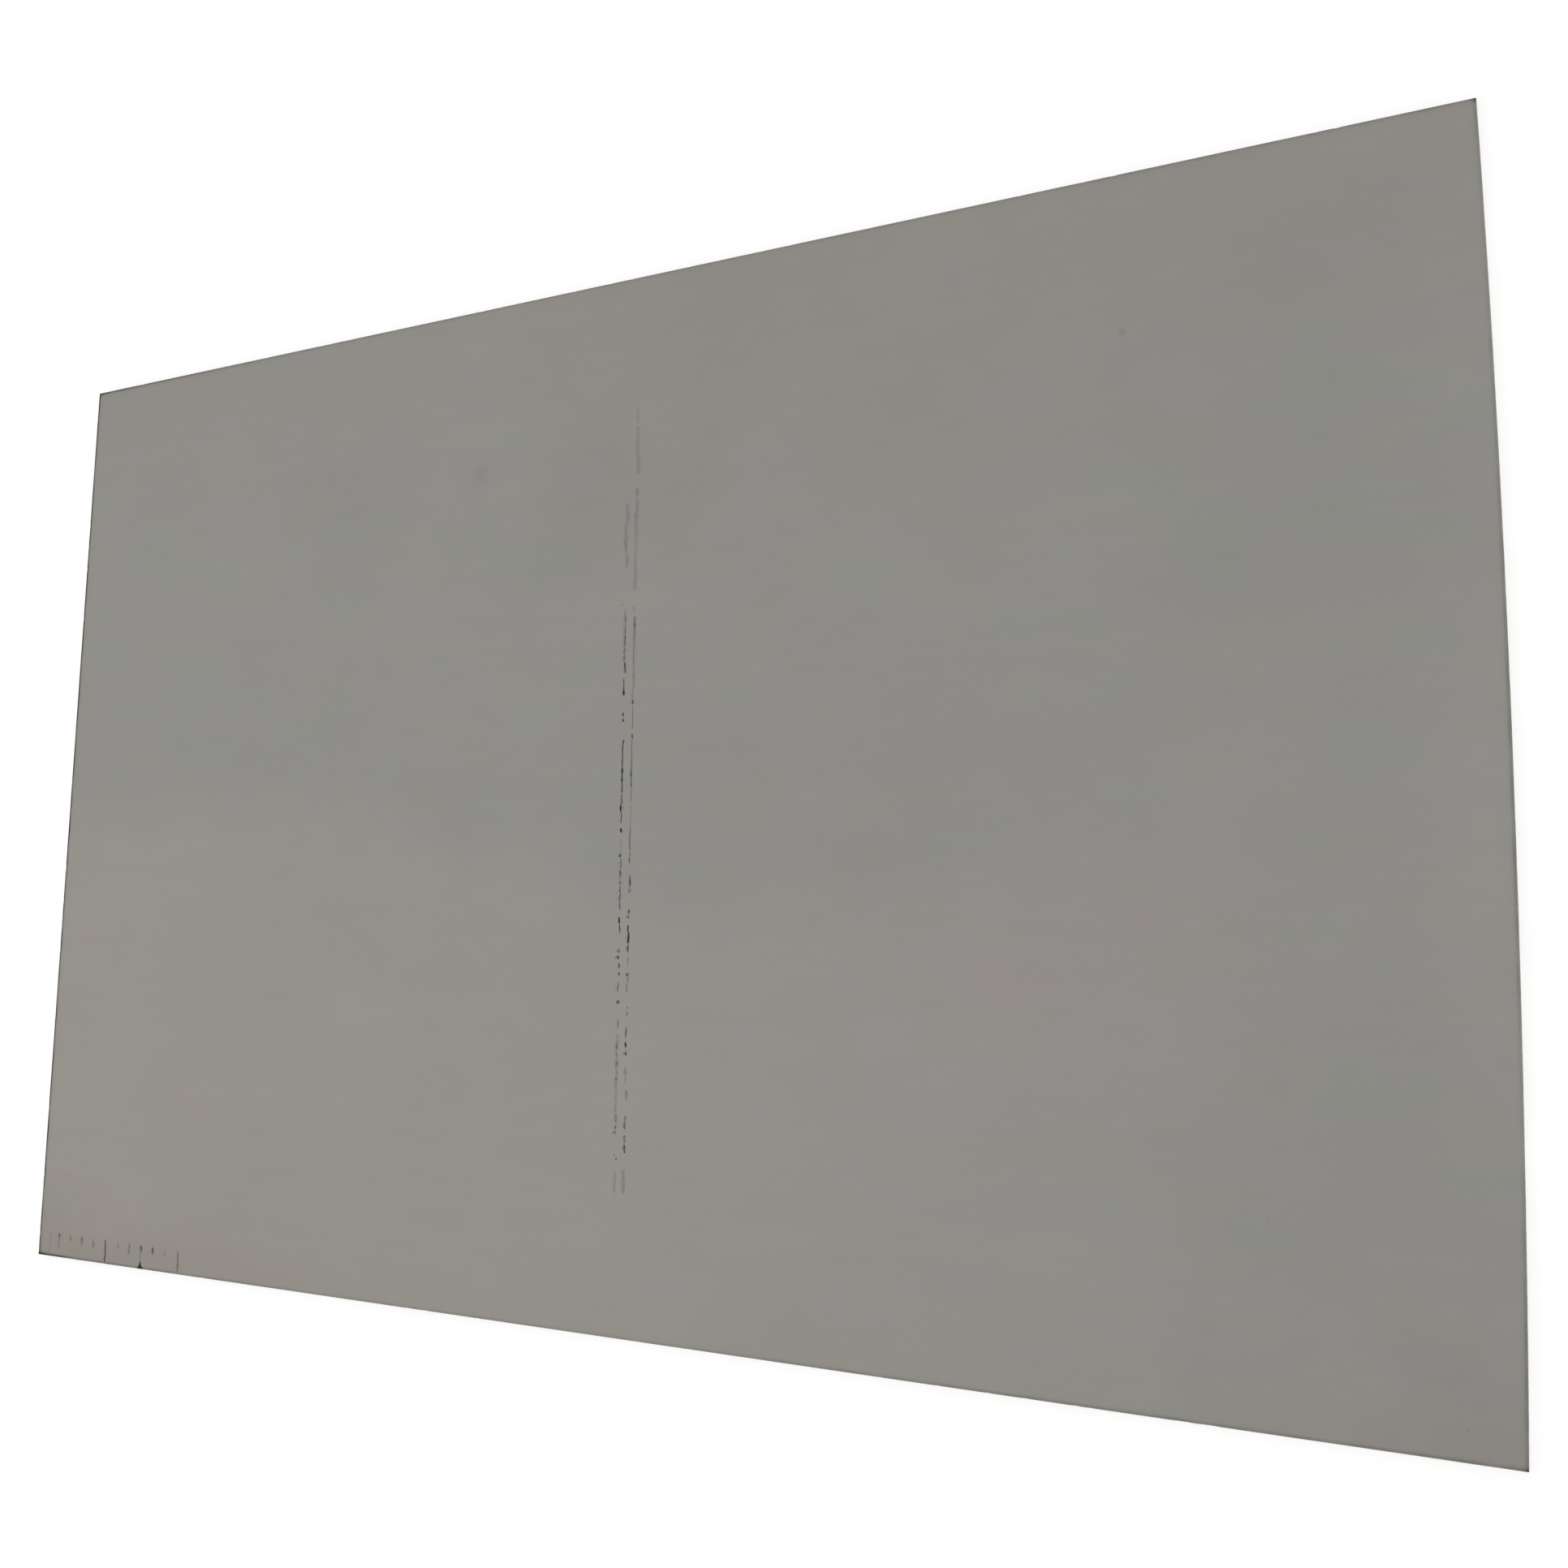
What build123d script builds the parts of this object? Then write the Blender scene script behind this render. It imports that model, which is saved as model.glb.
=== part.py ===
from build123d import *
import os

# Fibre cement board: one flat rectangular sheet of pressed fibre cement, lying face up.
#
# The sheet is one piece. It has square-cut edges with a small eased arris all round, four
# lightly worn corners, three straight edges and one end that is cut slightly bowed.

# Driving dimensions, in millimetres
sheet_length = 1200.0  # along X, from the straight end to the corners of the bowed end
sheet_width = 800.0  # along Y
sheet_thickness = 6.0  # along Z
end_bow = 6.0  # how far the middle of the +X end stands out past its two corners
corner_radius = 1.0  # wear on the four upright corners
face_arris = 0.5  # eased edge round the smooth face, which lies up
back_arris = 0.3  # eased edge round the rough back, which lies down

# The origin is the middle of the back, on the whole outline, with the bow counted in.
straight_end_x = -(sheet_length + end_bow) / 2
bowed_corner_x = straight_end_x + sheet_length
bow_middle_x = bowed_corner_x + end_bow
edge_y = sheet_width / 2

os.makedirs("parts", exist_ok=True)

with BuildPart() as board:
    # The outline, seen from above: three straight edges and the bowed end.
    with BuildSketch(Plane.XY) as outline:
        with BuildLine():
            Polyline(
                (bowed_corner_x, edge_y),
                (straight_end_x, edge_y),
                (straight_end_x, -edge_y),
                (bowed_corner_x, -edge_y),
            )
            ThreePointArc(
                (bowed_corner_x, -edge_y),
                (bow_middle_x, 0),
                (bowed_corner_x, edge_y),
            )
        make_face()
        fillet(outline.vertices(), radius=corner_radius)
    extrude(amount=sheet_thickness)

    # The arrises are eased, a little more on the face, where the sheet is handled.
    smooth_face = board.faces().sort_by(Axis.Z)[-1]
    rough_back = board.faces().sort_by(Axis.Z)[0]
    chamfer(smooth_face.edges(), length=face_arris)
    chamfer(rough_back.edges(), length=back_arris)

board.part.label = "board"
export_step(board.part, "parts/board.step")

size = board.part.bounding_box().size
mm3_per_m3 = 1e9
print(f"board {size.X:.1f} x {size.Y:.1f} x {size.Z:.1f} mm")
print(f"volume {board.part.volume / mm3_per_m3:.6f} cubic metres")
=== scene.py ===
# %% [markdown]
# A fibre cement board, dressed for its picture
#
# The object is one thin sheet of grey fibre cement. Its size and outline are already settled: they
# come in as a fixed frame, in metres, with the sheet lying flat and its smooth face up. This script
# adds what the eye reads as the real material: worn arrises, a saw-cut edge, the cloudy grey of dried
# cement, and the faint broken ink marks that a production line leaves behind.
#
# Lengths on a sheet are easier to think of in millimetres, so each one is written as so many MM.

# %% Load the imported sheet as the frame
import math
import random

import bmesh
import bpy
import numpy as np
from mathutils import Matrix, Vector, noise


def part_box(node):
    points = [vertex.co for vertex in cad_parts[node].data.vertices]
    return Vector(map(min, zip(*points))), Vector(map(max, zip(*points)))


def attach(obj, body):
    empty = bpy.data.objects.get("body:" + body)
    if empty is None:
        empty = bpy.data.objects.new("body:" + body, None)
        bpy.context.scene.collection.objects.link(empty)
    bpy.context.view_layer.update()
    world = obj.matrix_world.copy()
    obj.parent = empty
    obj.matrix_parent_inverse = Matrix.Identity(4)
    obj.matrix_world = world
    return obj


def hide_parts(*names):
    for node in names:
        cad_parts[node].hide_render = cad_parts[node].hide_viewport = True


MM = 0.001
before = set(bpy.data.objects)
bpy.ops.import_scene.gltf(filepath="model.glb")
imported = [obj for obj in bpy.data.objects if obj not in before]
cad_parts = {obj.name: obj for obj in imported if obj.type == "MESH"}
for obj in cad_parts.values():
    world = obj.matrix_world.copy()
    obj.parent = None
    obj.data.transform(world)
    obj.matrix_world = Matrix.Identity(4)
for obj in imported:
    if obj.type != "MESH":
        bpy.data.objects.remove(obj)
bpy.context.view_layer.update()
low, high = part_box("board")
print("sheet box in mm:", [round(side / MM, 2) for side in high - low])

# %% [markdown]
# The rectangle behind the outline
#
# The outline is a rectangle with one end cut slightly bowed. The long edges and the left-hand end are
# straight, and the right-hand end stands out by a few millimetres at its middle. It is simplest to
# model a plain rectangle and bend it as a last step, so the rectangle's half sizes come first. The
# sheet was cut to a stock length, and whatever the frame is longer than that is the bow.

# %% Half sizes, and the bow of the right-hand end
STOCK_LENGTH = 1200 * MM
left_x, right_x = low.x, low.x + STOCK_LENGTH
end_bow = high.x - right_x
half_length = (right_x - left_x) / 2
half_width = (high.y - low.y) / 2
middle_x = (left_x + right_x) / 2
top_z, floor_z = high.z, low.z


def bowed(x, y):
    """Shift a point along X so that the right-hand end bows out and the left-hand end stays straight."""
    share = (x - left_x) / (right_x - left_x)
    return x + end_bow * share * (1 - (y / half_width) ** 2)


print("rectangle in mm:", round(2 * half_length / MM, 2), "x", round(2 * half_width / MM, 2))
print("bow of the right-hand end in mm:", round(end_bow / MM, 2))

# %% [markdown]
# The camera
#
# The picture to match looks at the sheet a little from its right-hand end. A camera could be placed by
# eye, but four corners of a known rectangle fix it exactly. The corners and their pixels give a
# projective map. Its first two columns must be square to each other once the lens is divided out,
# which gives the focal length, and its third column gives the camera's place. Pixels are counted from
# the middle of the first one, so the picture's centre comes half a pixel before half its side.
#
# The sheet lies on the floor, so the same camera that looked at a sheet on its edge now looks down.

# %% Solve the camera from the four corners
PICTURE_SIDE = 1932
PICTURE_CENTRE = (PICTURE_SIDE - 1) / 2
CORNER_PIXELS = {
    (-1, 1): (122.0, 484.3),
    (1, 1): (1818.4, 119.2),
    (1, -1): (1883.9, 1814.3),
    (-1, -1): (46.5, 1544.9),
}


def projective_map():
    """Least squares map from the sheet's face, in metres, to pixels from the picture's centre."""
    rows = []
    for (side, end), (across, down) in CORNER_PIXELS.items():
        x, y = middle_x + side * half_length, end * half_width
        u, v = across - PICTURE_CENTRE, down - PICTURE_CENTRE
        rows.append([x, y, 1, 0, 0, 0, -u * x, -u * y, -u])
        rows.append([0, 0, 0, x, y, 1, -v * x, -v * y, -v])
    return np.linalg.svd(np.array(rows))[2][-1].reshape(3, 3)


first, second, third = projective_map().T
focal = math.sqrt(-(first[0] * second[0] + first[1] * second[1]) / (first[2] * second[2]))
unlens = np.diag([1 / focal, 1 / focal, 1])
first, second, third = unlens @ first, unlens @ second, unlens @ third
scale = (np.linalg.norm(first) + np.linalg.norm(second)) / 2 * math.copysign(1, third[2])
axes = np.column_stack([first, second, np.cross(first, second) / scale]) / scale
left_turn, _, right_turn = np.linalg.svd(axes)
turn = left_turn @ right_turn
place = -turn.T @ (third / scale)
print("focal length in pixels:", round(focal, 1))
print("camera from the middle of the face, in mm:", (place / MM).round(1))

# %% Make the camera
SENSOR = 36.0
NEAREST, FURTHEST = 0.05, 200.0


def placed(name, data):
    """A new object in the scene that shows this data."""
    made = bpy.data.objects.new(name, data)
    bpy.context.collection.objects.link(made)
    return made


camera_data = bpy.data.cameras.new("camera")
camera_data.sensor_width = SENSOR
camera_data.lens = focal / PICTURE_SIDE * SENSOR
camera_data.clip_start = NEAREST
camera_data.clip_end = FURTHEST
camera = placed("camera", camera_data)
bpy.context.scene.camera = camera
look = Matrix((turn.T @ np.diag([1, -1, -1])).tolist()).to_4x4()
camera.matrix_world = Matrix.Translation(Vector(place) + Vector((0, 0, top_z))) @ look


def pixel_of(x, y):
    """Where a point of the face lands in the picture, to check the camera."""
    seen = turn @ (np.array([x, y, 0.0]) - place)
    return focal * seen[:2] / seen[2] + PICTURE_CENTRE


for (side, end), wanted in CORNER_PIXELS.items():
    miss = pixel_of(middle_x + side * half_length, end * half_width) - np.array(wanted)
    print("corner", (side, end), "misses its pixel by", miss.round(2))

# %% [markdown]
# A few words for building shaders
#
# Every finish below is a small network of nodes. Written out in full, such a network is hard to read,
# so a few short helpers stand in for the nodes used most: arithmetic, a soft step, noise of a known
# size, and a blend of two colours. A colour is written as it would be read off a screen, from 0 to
# 255, and turned into the linear light that a shader works in.

# %% Helpers for shader nodes
def fill(tree, node, inputs):
    """Set each named input to a number or colour, or join it to another node, and return the outputs."""
    for name, value in inputs.items():
        if isinstance(value, bpy.types.NodeSocket):
            tree.links.new(value, node.inputs[name])
        else:
            node.inputs[name].default_value = value
    return node.outputs


def arithmetic(tree, kind, operation, inputs):
    """One step of arithmetic, on numbers or on vectors."""
    node = tree.nodes.new("ShaderNode" + kind)
    node.operation = operation
    return fill(tree, node, inputs)


def maths(tree, operation, one, other=0.0):
    """One step of arithmetic on two numbers."""
    return arithmetic(tree, "Math", operation, {0: one, 1: other})[0]


def soft_step(tree, value, start, end, before=0.0, after=1.0):
    """A smooth change from before to after while the value goes from start to end."""
    node = tree.nodes.new("ShaderNodeMapRange")
    node.interpolation_type = "SMOOTHSTEP"
    span = {"From Min": start, "From Max": end, "To Min": before, "To Max": after}
    return fill(tree, node, {"Value": value, **span})["Result"]


def blend(tree, share, under, over):
    """A mix of two colours, where share is how much of the second shows."""
    node = tree.nodes.new("ShaderNodeMix")
    node.data_type = "RGBA"
    return fill(tree, node, {0: share, 6: under, 7: over})[2]


def linear(part):
    """One part of a screen colour, from 0 to 255, as linear light."""
    return ((part / 255 + 0.055) / 1.055) ** 2.4


def paint(red, green, blue):
    """A screen colour as the linear colour that a shader wants."""
    return (linear(red), linear(green), linear(blue), 1.0)


EVEN = (1, 1, 1)


def cloud(tree, where, size, detail=2.0, stretch=EVEN):
    """Noise around zero, from about -0.3 to 0.3, whose patches are about size metres across."""
    mapping = {"Vector": where, "Scale": [1 / (size * part) for part in stretch]}
    mapped = fill(tree, tree.nodes.new("ShaderNodeMapping"), mapping)["Vector"]
    settings = {"Scale": 1.0, "Detail": detail, "Vector": mapped}
    made = fill(tree, tree.nodes.new("ShaderNodeTexNoise"), settings)["Fac"]
    return maths(tree, "SUBTRACT", made, 0.5)


print("mid grey paint in linear light:", [round(part, 3) for part in paint(140, 140, 140)])

# %% [markdown]
# Light
#
# A flat grey sheet needs plain light: its colour should come out as it is written, and its edges
# should still read. An even white sky gives part of the light and one wide, soft sun gives the rest.
# Their shares add up to a little under one on a level surface, because the sheen of the sheet adds
# the last few hundredths. The sun stands on the camera's side, so the sheet hides most of its own
# shadow, and a soft rim of shade is left.
#
# The background is white because sky and floor are white to the camera, and not from more light. The
# floor alone would fall as short of white as the light does, so to the camera it also glows by what is
# missing, and its shade still shows.

# %% Sky and sun
SKY_SHARE = 0.41
SUN_SHARE = 0.545
SUN_HEIGHT = math.radians(60)
SUN_HEADING = math.radians(-20)
SUN_SOFTNESS = math.radians(24)

bpy.context.scene.view_settings.view_transform = "Standard"
world = bpy.data.worlds.new("white_sky")
world.use_nodes = True
bpy.context.scene.world = world
sky = world.node_tree
path = sky.nodes.new("ShaderNodeLightPath").outputs
clear_ray = maths(sky, "MAXIMUM", path["Is Camera Ray"], path["Is Glossy Ray"])
clear_ray = maths(sky, "MAXIMUM", clear_ray, path["Is Transmission Ray"])
brightness = soft_step(sky, clear_ray, 0.0, 1.0, SKY_SHARE, 1.0)
fill(sky, sky.nodes["Background"], {"Color": paint(255, 255, 255), "Strength": brightness})

sun_data = bpy.data.lights.new("soft_sun", "SUN")
sun_data.energy = SUN_SHARE * math.pi / math.sin(SUN_HEIGHT)
sun_data.angle = SUN_SOFTNESS
sun = placed("soft_sun", sun_data)
level = math.cos(SUN_HEIGHT)
towards_sun = Vector(
    (math.cos(SUN_HEADING) * level, math.sin(SUN_HEADING) * level, math.sin(SUN_HEIGHT))
)
sun.rotation_euler = towards_sun.to_track_quat("Z", "Y").to_euler()
print("sun energy:", round(sun_data.energy, 3))

# %% White floor, which keeps the sheet's shadow
FLOOR_HALF = 40.0
FLOOR_GAP = 0.02 * MM
FLOOR_GLOW = 0.06
FLOOR_TO_CAMERA = paint(255, 255, 255)
FLOOR_TO_SHEET = paint(225, 225, 225)

floor_mesh = bpy.data.meshes.new("floor")
floor_corners = [
    (across * FLOOR_HALF, along * FLOOR_HALF, floor_z - FLOOR_GAP)
    for across, along in ((-1, -1), (1, -1), (1, 1), (-1, 1))
]
floor_mesh.from_pydata(floor_corners, [], [(0, 1, 2, 3)])
floor = placed("floor", floor_mesh)

floor_finish = bpy.data.materials.new("white_floor")
floor_finish.use_nodes = True
tree = floor_finish.node_tree
to_camera = tree.nodes.new("ShaderNodeLightPath").outputs["Is Camera Ray"]
floor_look = {
    "Roughness": 1.0,
    "Specular IOR Level": 0.0,
    "Base Color": blend(tree, to_camera, FLOOR_TO_SHEET, FLOOR_TO_CAMERA),
    "Emission Color": FLOOR_TO_CAMERA,
    "Emission Strength": maths(tree, "MULTIPLY", to_camera, FLOOR_GLOW),
}
fill(tree, tree.nodes["Principled BSDF"], floor_look)
floor_mesh.materials.append(floor_finish)
print("floor lies", FLOOR_GAP / MM, "mm under the sheet")

# %% [markdown]
# The sheet's body: rings round a rectangle
#
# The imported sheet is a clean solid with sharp, even arrises. A real one is cut by a saw or a knife and
# then handled: its arrises are rubbed round, they carry tiny chips, and the cut shows the thin films
# that the sheet is built from. A bevel modifier would give the same arris everywhere, and a sculpted
# displacement would need millions of faces over a face that is in truth flat.
#
# So the points are spent where they show. Closed rings of points run round the sheet, close together
# from the last millimetres of the face, over the arris, down the cut and on to the back. Inside them
# a coarse grid fills the flat face and the flat back.

# %% One ring of points round the rectangle
EDGE_STEP = 1.5 * MM
CORNER_STEPS = 6
CORNER_WALK = 0.004
SIDE_STEPS = [round(2 * half_length / EDGE_STEP), round(2 * half_width / EDGE_STEP)] * 2


def ring(inset, radius):
    """Points anticlockwise from the lower left, inset from the edges, with corners of this radius."""
    points = []
    for side, steps in enumerate(SIDE_STEPS):
        out_angle = math.radians(90 * side - 90)
        out = np.array([math.cos(out_angle), math.sin(out_angle)])
        along = np.array([-out[1], out[0]])
        reach, half = (half_width, half_length) if side % 2 == 0 else (half_length, half_width)
        reach, half = reach - inset, half - inset - radius
        shares = 2 * np.arange(steps) / steps - 1
        points.append(out * reach + np.outer(shares * half, along))
        turns = out_angle + math.radians(90) * np.arange(CORNER_STEPS) / CORNER_STEPS
        corner = out * (reach - radius) + along * half
        points.append(corner + radius * np.column_stack([np.cos(turns), np.sin(turns)]))
    return np.concatenate(points) + (middle_x, 0)


def ring_walk():
    """How far round each ring point is, where every side counts as one."""
    places = []
    for side, steps in enumerate(SIDE_STEPS):
        places.extend(side + (1 - CORNER_WALK) * i / steps for i in range(steps))
        places.extend(side + 1 - CORNER_WALK * (1 - i / CORNER_STEPS) for i in range(CORNER_STEPS))
    return np.array(places)


walk = ring_walk()
print("points in one ring:", len(walk))

# %% [markdown]
# The shape of the rim
#
# Each ring has an inset from the edge, a height, and two more numbers: how much the colour is darkened
# there, and how far a chip in the upper or lower arris pulls it in. The face lies a hair below the top of
# the frame, so that the ink on it ends level with the frame and nothing grows the sheet.

# %% Cross-section of the rim, from the face to the back
FACE_DROP = 0.03 * MM
face_z = top_z - FACE_DROP
CUT_TOP, CUT_FOOT = 0.45 * MM, 0.3 * MM
CUT_RINGS = 7
CUT_DARKENING = 0.1
# How far an upper chip pulls the top of the cut, and how fast a chip dies out over its height.
CUT_PULL, CHIP_FALL = 0.7, 3

# Each row is inset, depth under the face, darkening, pull of an upper chip; lengths in millimetres.
FACE_ROWS = (
    (14.0, 0.0, 0.0, 0.0),
    (8.0, 0.0, 0.02, 0.0),
    (4.5, 0.0, 0.05, 0.0),
    (2.6, 0.0, 0.18, 0.1),
    (1.6, 0.0, 0.7, 0.3),
    (1.0, 0.0, 1.0, 0.6),
    (0.55, 0.0, 0.85, 1.0),
    (0.3, 0.08, 0.7, 1.0),
    (0.12, 0.22, 0.6, 0.9),
)
# Each row is inset, height over the floor, darkening, pull of a lower chip; lengths in millimetres.
BACK_ROWS = (
    (0.1, 0.1, 0.35, 1.0),
    (0.3, 0.0, 0.35, 1.0),
    (1.0, 0.0, 0.25, 0.6),
    (2.6, 0.0, 0.08, 0.1),
    (14.0, 0.0, 0.0, 0.0),
)


def rim_section():
    """Inset, height, darkening, pull of an upper chip and pull of a lower chip, from face to back."""
    rings = []
    for inset, depth, darkening, pull in FACE_ROWS:
        rings.append((inset * MM, face_z - depth * MM, darkening, pull, 0.0))
    cut_top, cut_foot = face_z - CUT_TOP, floor_z + CUT_FOOT
    for i in range(CUT_RINGS):
        share = i / (CUT_RINGS - 1)
        height = cut_top + (cut_foot - cut_top) * share
        upper_pull, lower_pull = CUT_PULL * (1 - share) ** CHIP_FALL, share**CHIP_FALL
        rings.append((0.0, height, CUT_DARKENING, upper_pull, lower_pull))
    for inset, rise, darkening, pull in BACK_ROWS:
        rings.append((inset * MM, floor_z + rise * MM, darkening, 0.0, pull))
    return rings


section = rim_section()
print("rings in the rim:", len(section))

# %% [markdown]
# Chips and saw marks
#
# Chips come from knocks, so they fall at random places, short and shallow on the face side, which was
# kept for show, and longer on the back. One list of bumps round the outline serves each arris, and a
# chip is as ragged as the rings' points allow. The cut itself wanders by a tenth of a millimetre, with
# a finer tooth across it.

# %% Chips round an arris
RAGGED = 0.5


def chips(seed, count, lengths, depths):
    """How deep the arris is chipped at each ring point, from bumps at random places."""
    rng = random.Random(seed)
    depth = np.zeros(len(walk))
    for _ in range(count):
        at = rng.uniform(0, 4)
        side_length = 2 * (half_length if int(at) % 2 == 0 else half_width)
        half = rng.uniform(*lengths) / 2 / side_length
        bump = np.clip(1 - ((walk - at) / half) ** 2, 0, None)
        depth = np.maximum(depth, bump * rng.uniform(*depths))
    return depth * [rng.uniform(1 - RAGGED, 1) for _ in walk]


upper_chips = chips(11, 110, (2.5 * MM, 7 * MM), (0.08 * MM, 0.3 * MM))
lower_chips = chips(12, 170, (3 * MM, 10 * MM), (0.15 * MM, 0.8 * MM))
print("deepest chips in mm:", round(upper_chips.max() / MM, 2), round(lower_chips.max() / MM, 2))

# %% Corners, and the marks of the saw
CORNER_RADIUS, LEAST_RADIUS = 0.6 * MM, 0.2 * MM
TIGHT_WITHIN, INNER_CORNER_SHARE = 2 * MM, 0.5
SAW_REACH = 0.5 * MM
SAW_WANDER, WANDER_SIZE = 0.06 * MM, 60 * MM
SAW_TOOTH, TOOTH_SIZE, TOOTH_SQUEEZE = 0.05 * MM, 2.2 * MM, 2


def corner_radius(inset):
    """A ring near the edge turns tightly at the corners, and one further in turns wide."""
    return max(CORNER_RADIUS - inset, LEAST_RADIUS) if inset < TIGHT_WITHIN else inset * INNER_CORNER_SHARE


def noise_share(place, size):
    """Smooth noise from zero to one, with patches of this size."""
    return 0.5 + 0.5 * noise.noise(Vector(place) / size)


def saw_depth(x, y, z):
    """How far the cut lies inside the outline at a place: a slow wander and a fine tooth."""
    wander = noise_share((x, y, 0), WANDER_SIZE)
    tooth = noise_share((x, y, z * TOOTH_SQUEEZE), TOOTH_SIZE)
    return SAW_WANDER * wander + SAW_TOOTH * tooth


print("the saw cuts up to", round((SAW_WANDER + SAW_TOOTH) / MM, 2), "mm inside the outline")

# %% [markdown]
# Darkening along the arris
#
# The colour is darkened along the arris, most near the corners, and the darkening thins out towards
# the face. A painted mask could hold it. Here every point of the rim carries its own amount, from how
# far round the sheet it is and how far inside the edge, and the finishes further down read that number
# from the mesh.

# %% Darkening at the points of a ring
# Corners go round from the lower left one.
CORNER_DARKENING = (1.0, 0.8, 0.9, 1.0)
CORNER_REACH = (6.0 * MM, 1.9 * MM, 2.4 * MM, 3.4 * MM)
# Each pair is a place on the walk round the sheet, where every side counts as one, and the darkening on
# the arris there.
DARKENING_ROUND = (
    (0.0, 1.0), (0.012, 0.95), (0.04, 0.6), (0.1, 0.42), (0.25, 0.22), (0.5, 0.19), (0.75, 0.32),
    (1.0, 0.36), (1.1, 0.34), (1.22, 0.13), (1.4, 0.37), (1.55, 0.35), (1.75, 0.22), (1.9, 0.14),
    (2.0, 0.26), (2.04, 0.25), (2.15, 0.22), (2.5, 0.17), (2.8, 0.27), (2.93, 0.47), (3.0, 0.9),
    (3.02, 1.1), (3.25, 1.25), (3.6, 1.2), (3.97, 1.1), (4.0, 1.0),
)
# In the same way, how fast the darkening thins out inward: a high number makes a narrow band.
THINNING_ROUND = (
    (0.0, 1.5), (0.04, 1.7), (0.96, 1.7), (1.04, 1.1), (1.96, 1.1), (2.03, 0.95), (2.97, 0.95),
    (3.04, 1.35), (3.96, 1.35), (4.0, 1.5),
)
PATCHINESS, PATCH_SIZE = 0.6, 18 * MM
# A blot of ink ran over the lower long edge: where, its half length, and how far down the cut it ran.
BLOT_X, BLOT_HALF, BLOT_RUN = -471.8 * MM, 4.0 * MM, 3.0 * MM
BLOT_CRISPNESS, BLOT_FADE = 4, 3

side_darkening = np.interp(walk, *zip(*DARKENING_ROUND))
thinning = np.interp(walk, *zip(*THINNING_ROUND))
nearest_corner = walk.round().astype(int) % 4
corner_darkening = np.array(CORNER_DARKENING)[nearest_corner]
corner_reach = np.array(CORNER_REACH)[nearest_corner]
patchy = np.array(
    [1 + PATCHINESS * noise.noise(Vector((x, y, 0)) / PATCH_SIZE) for x, y in ring(0.0, CORNER_RADIUS)]
)


def ring_darkening(outline, height, band_share, on_cut):
    """Darkening at each point of a ring, where band_share is how much of it reaches that ring."""
    to_corner = np.hypot(half_length - abs(outline[:, 0] - middle_x), half_width - abs(outline[:, 1]))
    corner = corner_darkening * np.exp(-((to_corner / corner_reach) ** 2))
    to_blot = (outline[:, 0] - middle_x - BLOT_X) / BLOT_HALF
    blot = np.exp(-(to_blot**BLOT_CRISPNESS)) * (outline[:, 1] < 0)
    blot *= max(0.0, 1 - (face_z - height) / BLOT_RUN) if on_cut else band_share**BLOT_FADE
    return np.clip(band_share**thinning * side_darkening * patchy + corner * math.sqrt(band_share) + blot, 0, 1)


print("grime on the arris goes from", round(side_darkening.min(), 2), "to", round(side_darkening.max(), 2))

# %% Points and grime of every ring
CHIP_DROP = 0.6


def rim_points():
    """All ring points, ring after ring, with the darkening at each."""
    points, darkening = [], []
    for inset, height, band_share, upper, lower in section:
        pull = upper * upper_chips + lower * lower_chips
        drop = CHIP_DROP * (lower * lower_chips - upper * upper_chips)
        on_cut = inset < SAW_REACH
        outline = ring(inset, corner_radius(inset))
        inner = ring(inset + MM, max(corner_radius(inset) - MM, LEAST_RADIUS))
        inward = (inner - outline) / MM
        for i, (x, y) in enumerate(outline):
            step = pull[i] + (saw_depth(x, y, height) if on_cut else 0.0)
            x, y = x + inward[i, 0] * step, y + inward[i, 1] * step
            points.append((bowed(x, y), y, height + drop[i]))
        darkening.append(ring_darkening(outline, height, band_share, on_cut))
    return points, np.concatenate(darkening)


sheet_points, sheet_darkening = rim_points()
print("points in the rim:", len(sheet_points))

# %% [markdown]
# The flat middle
#
# The innermost ring has thousands of points and the flat face needs few. A zip joins the two: it walks
# round both loops at once and always steps to whichever next point comes first, so one fine edge meets
# one coarse edge with plain triangles and no gap.

# %% Grid for the face and the back, zipped to the rim
GRID_STEP = 20 * MM
GRID_INSET = 30 * MM
cells_x = round(2 * (half_length - GRID_INSET) / GRID_STEP)
cells_y = round(2 * (half_width - GRID_INSET) / GRID_STEP)


def add_grid(points, z):
    """Add a grid of points at one height, and return where it starts in the list."""
    start = len(points)
    for j in range(cells_y + 1):
        y = (half_width - GRID_INSET) * (2 * j / cells_y - 1)
        for i in range(cells_x + 1):
            x = middle_x + (half_length - GRID_INSET) * (2 * i / cells_x - 1)
            points.append((bowed(x, y), y, z))
    return start


def grid_faces(start):
    """The grid's squares, the points round its border, and how far round each of them is."""
    wide = cells_x + 1
    corners = [start + j * wide + i for j in range(cells_y) for i in range(cells_x)]
    squares = [(low_left, low_left + 1, low_left + wide + 1, low_left + wide) for low_left in corners]
    last = start + cells_y * wide
    border = [start + i for i in range(cells_x)]
    border += [start + j * wide + cells_x for j in range(cells_y)]
    border += [last + cells_x - i for i in range(cells_x)]
    border += [last - j * wide for j in range(cells_y)]
    places = [side + i / cells for side, cells in enumerate((cells_x, cells_y) * 2) for i in range(cells)]
    return squares, border, places


def zipped(outer, outer_walk, inner, inner_walk):
    """Triangles between two closed loops of point numbers."""
    outer_walk, inner_walk = [*outer_walk, 4.0], [*inner_walk, 4.0]
    i = j = 0
    triangles = []
    while i < len(outer) or j < len(inner):
        here, there = outer[i % len(outer)], inner[j % len(inner)]
        if j == len(inner) or (i < len(outer) and outer_walk[i + 1] <= inner_walk[j + 1]):
            triangles.append((here, outer[(i + 1) % len(outer)], there))
            i += 1
        else:
            triangles.append((here, inner[(j + 1) % len(inner)], there))
            j += 1
    return triangles


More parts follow.
